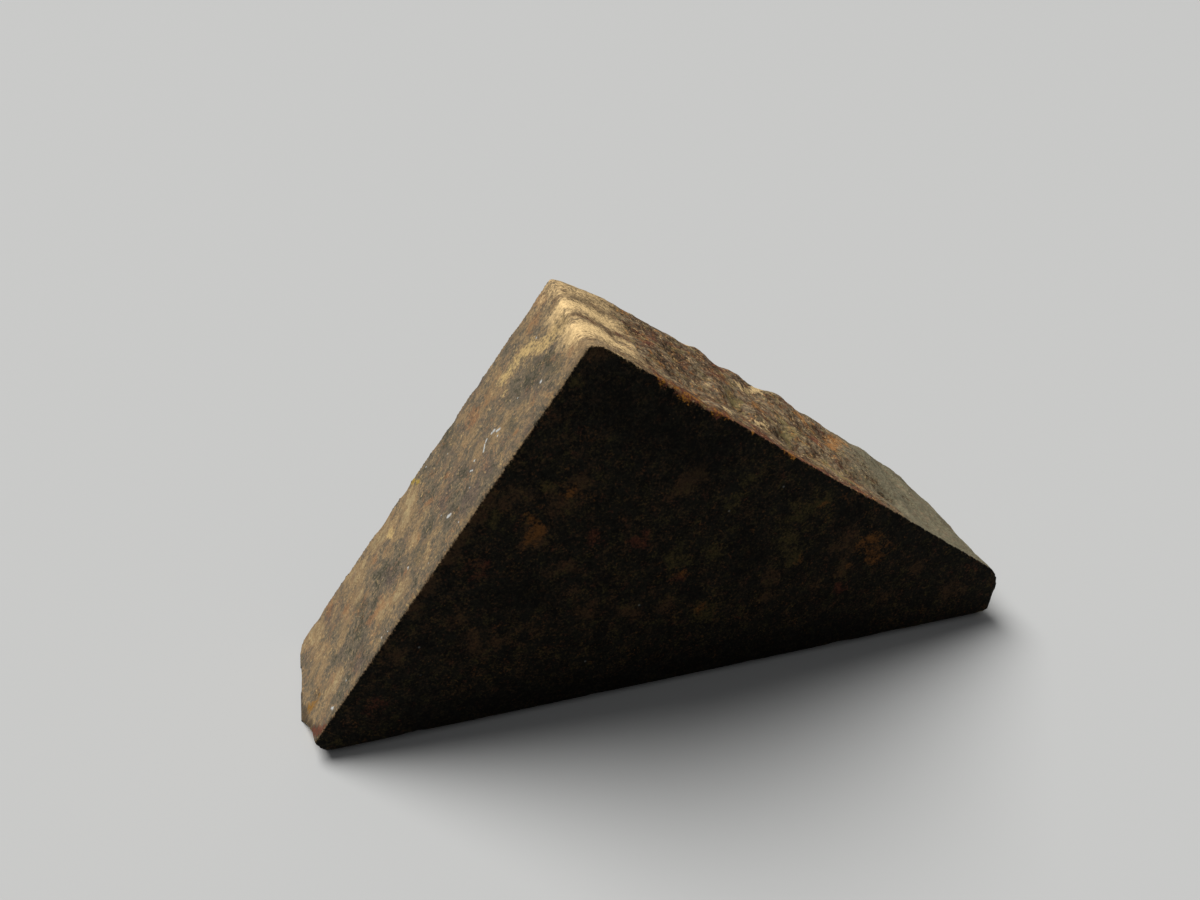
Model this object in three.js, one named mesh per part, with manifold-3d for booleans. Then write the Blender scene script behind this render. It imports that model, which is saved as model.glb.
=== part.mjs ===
// Chondrite meteorite: a triangular piece sawn from a larger stone, standing on its longest sawn side.
// Millimetres, +Z up. X runs along the foot, Y through the thickness towards the back, and the origin
// is the middle of the foot. The shapes are built from the foot's sharp front left corner and centred last.
//
// The piece is made as the real one came about: a weathered stone, sawn by four flat cuts (front, back,
// foot and left slope). The right slope and the short right end keep the stone's own weathered skin.

import * as THREE from "three";
import { mergeVertices } from "three/addons/utils/BufferGeometryUtils.js";
import { ImprovedNoise } from "three/addons/math/ImprovedNoise.js";
import Module from "manifold-3d";

// Driving dimensions: the triangle as sawn, before its thin right corner broke off
const FOOT_LENGTH = 43;
const APEX_X = 14.75;
const APEX_HEIGHT = 20.4;
const THICKNESS = 8.5;

// The back cut isn't quite parallel to the front one: the piece is thinner at the apex
const APEX_THICKNESS = 7.5;

// The broken right end
const END_X = 38.75;
const END_LEAN = 0.35;
const END_ROUNDING = 1.25;

// Worn edges
const CUT_EDGE_WEAR = 0.14;
const RIDGE_ROUNDING = 0.6;
const FOOT_EDGE_ROUNDING = 0.75;
const CHIP_SCATTER = [-0.3, 1.3];
const CHIP_STRETCH = [0.8, 2.2];

// The weathered skin's relief, outward from the plane of the right slope.
// The skin swells towards the back, sinks in a long furrow near the front, and is lumpy and pitted.
// It is calmer at the apex, along the front rim and at the broken end.
const SWELL = { height: 0.75, frontY: 1.5, startX: 12, fullX: 19, fadeX: 32.5, endX: 40 };
const KNOB = { x: 27.2, y: 7.3, height: 0.3, reach: 1.3 };
const FURROW = { y: 2.6, halfWidth: 1.1, depth: 0.22, startX: 19, endX: 35, runOut: 3 };
const LUMPS = { size: 3.4, height: 0.2, shift: 4.3 };
const GRIT = { size: 1.25, height: 0.14, shift: 9.1 };
const PITS = { size: 1.9, depth: 0.42, rim: 0.16, floor: 0.5, shift: 2.7 };
const CALM_APEX = { reach: 4, share: 0.4 };
const CALM_RIM = { y: 0.2, fullY: 1.8, share: 0.35 };
const CALM_END = { startX: END_X - 2, fullX: END_X - 0.5, share: 0.3 };
const SKIN_POINTS = 92;
const SKIN_STEPS = 20;

// How far the raw stone reaches past the cuts before it is sawn
const SAW_MARGIN = 3;

// Vertices closer than this are one
const MERGE_DISTANCE = 1e-4;

const FACE_SLOPE = Math.atan2(APEX_HEIGHT, FOOT_LENGTH - APEX_X);
const LEFT_SLOPE = Math.atan2(APEX_HEIGHT, APEX_X);

// Outward directions of the stone's sides
const OUT_OF_FACE = new THREE.Vector3(Math.sin(FACE_SLOPE), 0, Math.cos(FACE_SLOPE));
const OUT_OF_LEFT = new THREE.Vector3(-Math.sin(LEFT_SLOPE), 0, Math.cos(LEFT_SLOPE));
const OUT_OF_FRONT = new THREE.Vector3(0, -1, 0);
const OUT_OF_BACK = new THREE.Vector3(0, 1, 0);
const OUT_OF_FOOT = new THREE.Vector3(0, 0, -1);
const OUT_OF_END = new THREE.Vector3(1, 0, 0);

const wasm = await Module();
wasm.setup();
const noise = new ImprovedNoise();
const random = seededRandom(20200000);

// Repeatable random numbers from 0 to 1, so the chips always fall in the same places
function seededRandom(seed) {
  let state = seed;
  return () => {
    state = (Math.imul(state, 1664525) + 1013904223) >>> 0;
    return state / 2 ** 32;
  };
}

function between(low, high) {
  return low + (high - low) * random();
}

// A closed three.js geometry as a solid that can be cut and joined
function solidOf(geometry) {
  geometry.deleteAttribute("normal");
  geometry.deleteAttribute("uv");
  const merged = mergeVertices(geometry, MERGE_DISTANCE);
  return new wasm.Manifold(
    new wasm.Mesh({
      numProp: 3,
      vertProperties: new Float32Array(merged.attributes.position.array),
      triVerts: new Uint32Array(merged.index.array),
    }),
  );
}

function geometryOf(solid) {
  const { vertProperties, triVerts } = solid.getMesh();
  return new THREE.BufferGeometry()
    .setAttribute("position", new THREE.BufferAttribute(vertProperties, 3))
    .setIndex(new THREE.BufferAttribute(triVerts, 1));
}

// An outline drawn in the XZ plane, made solid from frontY to backY
function extrudeAcross(shape, frontY, backY, options) {
  return new THREE.ExtrudeGeometry(shape, { depth: backY - frontY, bevelEnabled: false, ...options })
    .rotateX(Math.PI / 2)
    .translate(0, backY, 0);
}

// The four saw cuts: flat front, back, foot and left slope, with lightly worn edges.
// The right side is left oversize, because the weathered skin ends the stone there.
function sawnBlock() {
  const reachUp = 1 + (2 * SAW_MARGIN) / APEX_HEIGHT;
  const outline = new THREE.Shape([
    new THREE.Vector2(0, 0),
    new THREE.Vector2(FOOT_LENGTH + SAW_MARGIN, 0),
    new THREE.Vector2(FOOT_LENGTH + SAW_MARGIN, APEX_HEIGHT * reachUp),
    new THREE.Vector2(APEX_X * reachUp, APEX_HEIGHT * reachUp),
  ]);
  const block = extrudeAcross(outline, CUT_EDGE_WEAR, THICKNESS - CUT_EDGE_WEAR, {
    bevelEnabled: true,
    bevelThickness: CUT_EDGE_WEAR,
    bevelSize: CUT_EDGE_WEAR,
    bevelOffset: -CUT_EDGE_WEAR,
    bevelSegments: 1,
  });
  return solidOf(block);
}

// Depth of the leaning back cut at a height
function backAt(z) {
  return THICKNESS - ((THICKNESS - APEX_THICKNESS) * z) / APEX_HEIGHT;
}

// A bar along X whose lower edges are rounded: it wears the foot's long edges and leans the back cut
function wornFootBar() {
  const height = APEX_HEIGHT + 2 * SAW_MARGIN;
  const round = FOOT_EDGE_ROUNDING;
  const section = new THREE.Shape();
  section.moveTo(round, 0);
  section.lineTo(THICKNESS - round, 0);
  section.quadraticCurveTo(THICKNESS, 0, THICKNESS, round);
  section.lineTo(backAt(height), height);
  section.lineTo(0, height);
  section.lineTo(0, round);
  section.quadraticCurveTo(0, 0, round, 0);
  const length = FOOT_LENGTH + 4 * SAW_MARGIN;
  const bar = new THREE.ExtrudeGeometry(section, { depth: length, bevelEnabled: false, curveSegments: 5 });
  const standing = new THREE.Matrix4().makeBasis(
    new THREE.Vector3(0, 1, 0),
    new THREE.Vector3(0, 0, 1),
    new THREE.Vector3(1, 0, 0),
  );
  return solidOf(bar.applyMatrix4(standing).translate(-2 * SAW_MARGIN, 0, 0));
}

function smooth(value, low, high) {
  return THREE.MathUtils.smoothstep(value, low, high);
}

// Smooth noise from about -1 to 1 whose lumps have the given size
function lumpyNoise({ size, shift }, x, y, z) {
  return noise.noise(x / size + shift, y / size + 2 * shift, z / size);
}

// Height of the weathered skin over its plane at a point of the right slope or the right end
function relief(x, y, z) {
  const swellRun = smooth(x, SWELL.startX, SWELL.fullX) * (1 - smooth(x, SWELL.fadeX, SWELL.endX));
  const swell = SWELL.height * swellRun * smooth(y, SWELL.frontY, THICKNESS);
  const knob = KNOB.height * (1 - smooth(Math.hypot(x - KNOB.x, y - KNOB.y), 0, KNOB.reach));
  const furrowIn = smooth(x, FURROW.startX, FURROW.startX + FURROW.runOut);
  const furrowOut = 1 - smooth(x, FURROW.endX - FURROW.runOut, FURROW.endX);
  const furrowAcross = 1 - smooth(Math.abs(y - FURROW.y), 0, FURROW.halfWidth);
  const furrow = FURROW.depth * furrowIn * furrowOut * furrowAcross;
  const lumps = LUMPS.height * lumpyNoise(LUMPS, x, y, z);
  const grit = GRIT.height * lumpyNoise(GRIT, x, y, z);
  const pits = PITS.depth * smooth(lumpyNoise(PITS, x, y, z), PITS.rim, PITS.floor);
  const pastApex = smooth(x, APEX_X, APEX_X + CALM_APEX.reach);
  const calmApex = CALM_APEX.share + (1 - CALM_APEX.share) * pastApex;
  const calmRim = CALM_RIM.share + (1 - CALM_RIM.share) * smooth(y, CALM_RIM.y, CALM_RIM.fullY);
  const atEnd = smooth(x, CALM_END.startX, CALM_END.fullX);
  const sunken = pastApex * smooth(y, CALM_RIM.y, CALM_RIM.fullY) * (1 - (1 - CALM_END.share) * atEnd);
  return swell + knob + (lumps + grit) * calmApex * calmRim - (furrow + pits) * sunken;
}

// The raw stone around the worn ridge, the right slope and the right end, its skin raised and sunk by
// the relief, which dies out past the front and back cuts
function weatheredStone() {
  const down = new THREE.Vector2(Math.cos(FACE_SLOPE), -Math.sin(FACE_SLOPE));
  const brow = new THREE.Vector2(END_X, (FOOT_LENGTH - END_X) * Math.tan(FACE_SLOPE));
  const roundFrom = brow.clone().addScaledVector(down, -END_ROUNDING);
  const apex = new THREE.Vector2(APEX_X, APEX_HEIGHT);
  const ridgeRight = apex.clone().addScaledVector(down, RIDGE_ROUNDING);
  const ridgeLeft = apex.clone().multiplyScalar(1 - RIDGE_ROUNDING / apex.length());
  const clear = new THREE.Vector2(OUT_OF_LEFT.x, OUT_OF_LEFT.z).multiplyScalar(2 * SAW_MARGIN).add(ridgeLeft);
  const lean = END_LEAN / brow.y;
  const skinLine = new THREE.Path();
  skinLine.moveTo(END_X - END_LEAN - lean * SAW_MARGIN, -SAW_MARGIN);
  skinLine.lineTo(END_X - lean * END_ROUNDING, brow.y - END_ROUNDING);
  skinLine.quadraticCurveTo(brow.x, brow.y, roundFrom.x, roundFrom.y);
  skinLine.lineTo(ridgeRight.x, ridgeRight.y);
  skinLine.quadraticCurveTo(apex.x, apex.y, ridgeLeft.x, ridgeLeft.y);
  skinLine.lineTo(clear.x, clear.y);
  const profile = new THREE.Shape([
    ...skinLine.getSpacedPoints(SKIN_POINTS),
    new THREE.Vector2(-2 * SAW_MARGIN, clear.y),
    new THREE.Vector2(-2 * SAW_MARGIN, -SAW_MARGIN),
  ]);
  const front = -SAW_MARGIN / 2;
  const back = THICKNESS + SAW_MARGIN / 2;
  const raw = extrudeAcross(profile, front, back, { steps: SKIN_STEPS });
  raw.deleteAttribute("normal");
  raw.deleteAttribute("uv");
  const skin = mergeVertices(raw, MERGE_DISTANCE);
  skin.computeVertexNormals();
  const place = skin.attributes.position;
  const normal = skin.attributes.normal;
  for (let i = 0; i < place.count; i++) {
    const [x, y, z] = [place.getX(i), place.getY(i), place.getZ(i)];
    const fade = smooth(y, front, 0) * (1 - smooth(y, THICKNESS, back));
    const rise = relief(x, y, z) * fade;
    place.setXYZ(i, x + rise * normal.getX(i), y, z + rise * normal.getZ(i));
  }
  return solidOf(skin);
}

// A conchoidal chip: a coarse, turned ball that bites depth deep at a point on an edge or a face.
// outward points from the stone through that point, and along is the way that the ball is stretched.
function chip({ point, outward, along, radius, depth, stretch = 1, detail = 1 }) {
  const ball = new THREE.IcosahedronGeometry(radius, detail);
  ball.rotateX(between(0, Math.PI)).rotateY(between(0, Math.PI)).rotateZ(between(0, Math.PI));
  const out = outward.clone().normalize();
  const side = new THREE.Vector3().crossVectors(along, out).normalize();
  const run = new THREE.Vector3().crossVectors(out, side);
  const centre = point.clone().addScaledVector(out, radius - depth);
  const place = new THREE.Matrix4().makeBasis(run, out, side);
  place.scale(new THREE.Vector3(stretch, 1, 1)).setPosition(centre);
  return solidOf(ball.applyMatrix4(place));
}

// Chips scattered along a straight edge from start to end, in uneven places and lengths
function edgeChips({ start, end, outward, count, radius, depth }) {
  const along = end.clone().sub(start).normalize();
  return Array.from({ length: count }, (_, i) => {
    const point = start.clone().lerp(end, (i + between(...CHIP_SCATTER)) / count);
    const stretch = between(...CHIP_STRETCH);
    return chip({ point, outward, along, radius: between(...radius), depth: between(...depth), stretch });
  });
}

// A point on the plane of the right slope, or over it by height
function onFaceSlope(x, y, height = 0) {
  const z = (FOOT_LENGTH - x) * Math.tan(FACE_SLOPE);
  return new THREE.Vector3(x, y, z).addScaledVector(OUT_OF_FACE, height);
}

function outwardOf(...normals) {
  return normals.reduce((sum, normal) => sum.add(normal), new THREE.Vector3()).normalize();
}

// Crumbled edges: the weathered slope's long edges most, the sawn left slope's front edge least
function chippedEdges() {
  const corner = (y) => new THREE.Vector3(0, y, 0);
  const apex = (y) => new THREE.Vector3(APEX_X, y, APEX_HEIGHT);
  const footEnd = (y) => new THREE.Vector3(END_X - END_LEAN, y, 0);
  const edges = [
    {
      start: onFaceSlope(17.5, 0),
      end: onFaceSlope(36, 0),
      outward: outwardOf(OUT_OF_FACE, OUT_OF_FRONT),
      count: 16,
      radius: [0.3, 0.8],
      depth: [0.04, 0.1],
    },
    {
      start: onFaceSlope(18.2, 0),
      end: onFaceSlope(20.6, 0),
      outward: outwardOf(OUT_OF_FACE, OUT_OF_FRONT),
      count: 5,
      radius: [0.35, 0.6],
      depth: [0.16, 0.26],
    },
    {
      start: onFaceSlope(17, backAt(19), 0.5),
      end: onFaceSlope(36, backAt(5), 0.5),
      outward: outwardOf(OUT_OF_FACE, OUT_OF_BACK),
      count: 11,
      radius: [0.5, 1.4],
      depth: [0.1, 0.3],
    },
    {
      start: corner(THICKNESS),
      end: apex(APEX_THICKNESS),
      outward: outwardOf(OUT_OF_LEFT, OUT_OF_BACK),
      count: 8,
      radius: [0.6, 1.3],
      depth: [0.1, 0.22],
    },
    {
      start: corner(0).lerp(apex(0), 0.12),
      end: corner(0).lerp(apex(0), 0.9),
      outward: outwardOf(OUT_OF_LEFT, OUT_OF_FRONT),
      count: 4,
      radius: [0.3, 0.6],
      depth: [0.1, 0.15],
    },
    {
      start: corner(0),
      end: footEnd(0),
      outward: outwardOf(OUT_OF_FOOT, OUT_OF_FRONT),
      count: 8,
      radius: [1, 2.2],
      depth: [0.32, 0.44],
    },
    {
      start: corner(THICKNESS),
      end: footEnd(THICKNESS),
      outward: outwardOf(OUT_OF_FOOT, OUT_OF_BACK),
      count: 8,
      radius: [1, 2.4],
      depth: [0.35, 0.65],
    },
    {
      start: corner(4),
      end: corner(THICKNESS),
      outward: outwardOf(OUT_OF_FOOT, OUT_OF_LEFT),
      count: 3,
      radius: [0.6, 1.2],
      depth: [0.12, 0.25],
    },
    {
      start: footEnd(1),
      end: footEnd(THICKNESS),
      outward: outwardOf(OUT_OF_FOOT, OUT_OF_END),
      count: 3,
      radius: [0.8, 1.6],
      depth: [0.2, 0.35],
    },
  ];
  return edges.flatMap(edgeChips);
}

// Larger bites: the front left foot corner, the small pit beside it, and the back of the right end
function brokenCorners() {
  const pitHeight = 1.35;
  return [
    {
      point: new THREE.Vector3(0.1, 0.8, 0),
      outward: OUT_OF_FRONT.clone().multiplyScalar(0.35).add(outwardOf(OUT_OF_LEFT, OUT_OF_FOOT)),
      along: OUT_OF_FRONT,
      radius: 5.5,
      depth: 1.0,
      detail: 3,
    },
    {
      point: new THREE.Vector3(pitHeight / Math.tan(LEFT_SLOPE), 2.9, pitHeight),
      outward: OUT_OF_LEFT,
      along: OUT_OF_FRONT,
      radius: 0.45,
      depth: 0.22,
    },
    {
      point: onFaceSlope(END_X, THICKNESS),
      outward: outwardOf(OUT_OF_FACE, OUT_OF_BACK, OUT_OF_END),
      along: OUT_OF_FACE,
      radius: 3.4,
      depth: 0.85,
      detail: 2,
    },
    {
      point: new THREE.Vector3(END_X, THICKNESS, 0.8),
      outward: outwardOf(OUT_OF_BACK, OUT_OF_END),
      along: OUT_OF_FOOT,
      radius: 2.4,
      depth: 0.8,
      detail: 2,
    },
  ].map(chip);
}

function meteorite() {
  let solid = sawnBlock().intersect(wornFootBar()).intersect(weatheredStone());
  for (const bite of [...chippedEdges(), ...brokenCorners()]) {
    solid = solid.subtract(bite);
  }
  const geometry = geometryOf(solid);
  geometry.computeBoundingBox();
  const middle = geometry.boundingBox.getCenter(new THREE.Vector3());
  geometry.translate(-middle.x, -middle.y, -geometry.boundingBox.min.z);
  const finish = new THREE.MeshStandardMaterial({
    color: 0x6b5a45,
    roughness: 0.82,
    metalness: 0.05,
    flatShading: true,
  });
  const mesh = new THREE.Mesh(geometry, finish);
  mesh.name = "stone";
  return mesh;
}

const chondrite = new THREE.Group();
chondrite.add(meteorite());

export default chondrite;
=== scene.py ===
"""Looks of the chondrite meteorite, a small triangular piece of stony meteorite sawn flat on four sides.

The solid from the frame is copied, refined into a fine mesh, given the grit of its weathered skin, and
dressed with one procedural material. Then comes a plain studio: a pale floor, a soft lamp and the camera.
"""

import logging
import math
from dataclasses import dataclass
from enum import Enum

import bpy
import numpy as np
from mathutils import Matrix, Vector

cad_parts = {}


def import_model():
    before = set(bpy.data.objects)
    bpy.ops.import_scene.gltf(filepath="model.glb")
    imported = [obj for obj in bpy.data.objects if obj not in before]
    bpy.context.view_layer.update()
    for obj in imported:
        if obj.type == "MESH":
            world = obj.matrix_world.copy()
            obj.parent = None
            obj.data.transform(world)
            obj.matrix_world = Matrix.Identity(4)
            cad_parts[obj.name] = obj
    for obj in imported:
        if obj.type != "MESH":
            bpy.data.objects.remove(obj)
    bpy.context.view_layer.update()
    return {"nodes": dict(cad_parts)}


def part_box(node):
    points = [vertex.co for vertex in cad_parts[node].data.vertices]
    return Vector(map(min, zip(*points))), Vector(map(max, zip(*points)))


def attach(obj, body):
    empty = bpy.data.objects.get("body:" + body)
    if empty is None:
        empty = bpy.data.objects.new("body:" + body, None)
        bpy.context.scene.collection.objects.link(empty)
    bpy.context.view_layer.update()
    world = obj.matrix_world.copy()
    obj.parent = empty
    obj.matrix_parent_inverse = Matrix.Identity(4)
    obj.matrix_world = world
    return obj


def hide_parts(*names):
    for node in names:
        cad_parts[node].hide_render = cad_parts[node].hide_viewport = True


log = logging.getLogger("meteorite")

MM = 0.001

# Blender's cloudy noise keeps close to its middle, so it is moved to 0 and spread out by this much
NOISE_MIDDLE = 0.5
NOISE_GAIN = 2.4

# Finer layers of the noise that shifts places, and how much it is spread out
SWIRL_LAYERS = 3.0
SWIRL_GAIN = 4.0

# Name of the colour attribute that tells hollows from rises, used for painted shade in the hollows of the
# slope
SHADED_HOLLOWS = "hollows"

Colour = tuple[float, float, float]
Place = tuple[float, float, float]

# Where a mask is 0 and where it is 1
Band = tuple[float, float]


class Side(Enum):
    """The sides of the stone that carry blotches of their own."""

    FRONT = "front cut"
    LEFT = "left cut"
    SLOPE = "weathered slope"


@dataclass(frozen=True)
class Slab:
    """The sawn triangle in millimetres, measured from its sharp front left foot corner.

    X runs along the foot, Y through the thickness and Z up.
    """

    corner: Vector
    foot_length: float = 43.0
    apex_x: float = 14.75
    apex_height: float = 20.4
    thickness: float = 8.5
    apex_thickness: float = 7.5

    @property
    def left_angle(self) -> float:
        """Angle of the left slope over the foot."""
        return math.atan2(self.apex_height, self.apex_x)

    @property
    def skin_angle(self) -> float:
        """Angle of the weathered right slope over the foot."""
        return math.atan2(self.apex_height, self.foot_length - self.apex_x)

    @property
    def back_lean(self) -> float:
        """How much thinner the slab gets for each millimetre of height."""
        return (self.thickness - self.apex_thickness) / self.apex_height

    def from_corner(self, places: np.ndarray) -> np.ndarray:
        """Turns places in the row frame, in metres, into millimetres from the corner.

        Args:
            places: One row of X, Y and Z for each place.

        Returns:
            The same rows in millimetres from the corner.
        """
        return (places - np.array(self.corner)) / MM

    def depth_under_seen_cuts(self, places: np.ndarray) -> np.ndarray:
        """Finds how deep places lie under the nearest of the front, left and foot cuts.

        Args:
            places: Rows of X, Y and Z in millimetres from the corner.

        Returns:
            One depth in millimetres for each place, 0 on a cut.
        """
        x, y, z = places.T
        under_left = x * math.sin(self.left_angle) - z * math.cos(self.left_angle)
        return np.minimum.reduce([y, z, under_left])

    def depth_under_back(self, places: np.ndarray) -> np.ndarray:
        """Finds how deep places lie under the back cut.

        Args:
            places: Rows of X, Y and Z in millimetres from the corner.

        Returns:
            One depth in millimetres for each place, 0 on the cut.
        """
        return self.thickness - self.back_lean * places[:, 2] - places[:, 1]


class Wire:
    """A number carried by a shader socket, which takes part in Python arithmetic."""

    def __init__(self, shader: "Shader", socket: bpy.types.NodeSocket) -> None:
        """Keeps the socket and the shader that new nodes go into."""
        self.shader = shader
        self.socket = socket

    def _math(self, operation: str, *values: "Wire | float") -> "Wire":
        """Adds one Math node.

        Args:
            operation: The node's operation.
            values: Its inputs in order.

        Returns:
            The node's result.
        """
        node = self.shader.node("ShaderNodeMath", {"operation": operation}, dict(enumerate(values)))
        return Wire(self.shader, node.outputs[0])

    def __add__(self, other: "Wire | float") -> "Wire":
        """Sum."""
        return self._math("ADD", self, other)

    def __sub__(self, other: "Wire | float") -> "Wire":
        """Difference."""
        return self._math("SUBTRACT", self, other)

    def __rsub__(self, other: float) -> "Wire":
        """Difference from a plain number."""
        return self._math("SUBTRACT", other, self)

    def __mul__(self, other: "Wire | float") -> "Wire":
        """Product."""
        return self._math("MULTIPLY", self, other)

    __radd__ = __add__
    __rmul__ = __mul__

    def __or__(self, other: "Wire | float") -> "Wire":
        """The larger of two masks."""
        return self._math("MAXIMUM", self, other)

    def rise(self, low: float, high: float) -> "Wire":
        """Rises smoothly from 0 at low to 1 at high, and falls where low is above high.

        Args:
            low: Where the result is 0.
            high: Where the result is 1.

        Returns:
            A mask from 0 to 1.
        """
        start, end = sorted((low, high))
        low_result = 0.0 if low < high else 1.0
        values = {
            "Value": self,
            "From Min": start,
            "From Max": end,
            "To Min": low_result,
            "To Max": 1.0 - low_result,
        }
        node = self.shader.node("ShaderNodeMapRange", {"interpolation_type": "SMOOTHSTEP"}, values)
        return Wire(self.shader, node.outputs["Result"])

    def near(self, middle: float, reach: float) -> "Wire":
        """Makes a band that is 1 at its middle and fades to 0 at its reach on both sides."""
        return self._math("ABSOLUTE", self - middle).rise(reach, 0.0)


class Paint(Wire):
    """A colour or a vector carried by a shader socket. It is mixed, never added up as a number."""


@dataclass(frozen=True)
class Cloud:
    """Cloudy noise: the size of its lumps in millimetres, its finer layers and how strong each one is."""

    size: float
    layers: float
    roughness: float


class Shader:
    """A new material and the ways of adding nodes to it."""

    def __init__(self, name: str) -> None:
        """Makes an empty node material.

        Args:
            name: The material's name.
        """
        self.material = bpy.data.materials.new(name)
        self.material.use_nodes = True
        self.tree = self.material.node_tree
        self.tree.nodes.clear()
        self.patterns = 0

    def node(
        self, kind: str, settings: dict[str, object], values: dict[str | int, object]
    ) -> bpy.types.Node:
        """Adds a node, sets it up, and fills or links its sockets.

        Args:
            kind: The node's type.
            settings: Its own properties, set first.
            values: For each socket a number, a colour, or a wire to link.

        Returns:
            The new node.
        """
        node = self.tree.nodes.new(kind)
        for name, setting in settings.items():
            setattr(node, name, setting)
        for name, value in values.items():
            if isinstance(value, Wire):
                self.tree.links.new(value.socket, node.inputs[name])
            else:
                node.inputs[name].default_value = value
        return node

    def vector(self, operation: str, first: Paint, second: Paint | Place) -> Paint:
        """Adds a Vector Math node with a vector result."""
        node = self.node("ShaderNodeVectorMath", {"operation": operation}, {0: first, 1: second})
        return Paint(self, node.outputs["Vector"])

    def combine(self, x: Wire | float, y: Wire | float, z: Wire | float) -> Paint:
        """Makes a vector of three numbers."""
        return Paint(self, self.node("ShaderNodeCombineXYZ", {}, {0: x, 1: y, 2: z}).outputs[0])

    def separate(self, place: Paint) -> tuple[Wire, Wire, Wire]:
        """Takes a vector apart into its three numbers."""
        node = self.node("ShaderNodeSeparateXYZ", {}, {0: place})
        return tuple(Wire(self, node.outputs[i]) for i in range(3))

    def distance(self, first: Paint, second: Paint | Place) -> Wire:
        """Distance from one place to another."""
        node = self.node("ShaderNodeVectorMath", {"operation": "DISTANCE"}, {0: first, 1: second})
        return Wire(self, node.outputs["Value"])

    def dot(self, first: Paint, second: Place) -> Wire:
        """Dot product of two vectors."""
        node = self.node("ShaderNodeVectorMath", {"operation": "DOT_PRODUCT"}, {0: first, 1: second})
        return Wire(self, node.outputs["Value"])

    def noise(self, place: Paint, cloud: Cloud) -> Wire:
        """Adds cloudy noise with a pattern of its own.

        Args:
            place: Where it is read, in millimetres.
            cloud: The kind of noise.

        Returns:
            Numbers around 0, mostly within half a unit of it.
        """
        self.patterns += 1
        values = {
            "Vector": place,
            "W": self.patterns,
            "Scale": 1.0 / cloud.size,
            "Detail": cloud.layers,
            "Roughness": cloud.roughness,
        }
        node = self.node("ShaderNodeTexNoise", {"noise_dimensions": "4D"}, values)
        return (Wire(self, node.outputs["Fac"]) - NOISE_MIDDLE) * NOISE_GAIN

    def stir(self, place: Paint, size: float, reach: float) -> Paint:
        """Shifts places by noise, so that what is read there gets ragged outlines.

        Args:
            place: The places in millimetres.
            size: Size of the swirls in millimetres.
            reach: How far a place is moved at most, about, in millimetres.

        Returns:
            The shifted places.
        """
        values = {"Vector": place, "Scale": 1.0 / size, "Detail": SWIRL_LAYERS}
        swirl = Paint(self, self.node("ShaderNodeTexNoise", {}, values).outputs["Color"])
        centred = self.vector("SUBTRACT", swirl, (NOISE_MIDDLE,) * 3)
        push = self.vector("MULTIPLY", centred, (SWIRL_GAIN * reach,) * 3)
        return self.vector("ADD", place, push)

    def grains(self, place: Paint, size: float) -> tuple[Wire, Wire]:
        """Adds a field of grains, one in each cell.

        Args:
            place: Where it is read, in millimetres.
            size: Distance from grain to grain in millimetres.

        Returns:
            The distance from the nearest grain's middle in millimetres, and that grain's own random number.
        """
        node = self.node("ShaderNodeTexVoronoi", {}, {"Vector": place, "Scale": 1.0 / size})
        own = self.separate(Paint(self, node.outputs["Color"]))[0]
        return Wire(self, node.outputs["Distance"]) * size, own

    def mix(self, share: Wire | float, under: Paint | Colour, over: Paint | Colour) -> Paint:
        """Lays one colour over another.

        Args:
            share: How much of the upper colour shows, from 0 to 1.
            under: The colour below.
            over: The colour on top.

        Returns:
            The mixed colour.
        """
        settings = {"data_type": "RGBA", "clamp_factor": True}
        colours = [c if isinstance(c, Paint) else (*c, 1.0) for c in (under, over)]
        node = self.node("ShaderNodeMix", settings, {0: share, 6: colours[0], 7: colours[1]})
        return Paint(self, node.outputs[2])

    def between(self, share: Wire, start: Place, end: Place) -> Paint:
        """Finds the place at a share of the way from a start to an end, and not past them.

        Args:
            share: The share of the way.
            start: The place at share 0 and below.
            end: The place at share 1 and above.

        Returns:
            The place.
        """
        settings = {"data_type": "VECTOR", "clamp_factor": True}
        node = self.node("ShaderNodeMix", settings, {0: share, 4: start, 5: end})
        return Paint(self, node.outputs[1])


@dataclass(frozen=True)
class Blotch:
    """A round blotch: its place along and across its side, and its reach, in millimetres."""

    along: float
    across: float
    reach: float


@dataclass(frozen=True)
class Streak:
    """A streak: both its ends along and across its side, and its reach, in millimetres."""

    start: tuple[float, float]
    end: tuple[float, float]
    reach: float


@dataclass(frozen=True)
class Coat:
    """A ragged coat of one colour, laid where cloudy noise passes a level, and round its own marks.

    The size of its patches is in millimetres, the share says how well it covers, the push how strongly a
    mark calls it, and the softness how far above the level it is full.
    """

    colour: Colour
    size: float
    level: float
    share: float
    marks: tuple[Blotch | Streak, ...] = ()
    push: float = 0.5
    softness: float = 0.6


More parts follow.
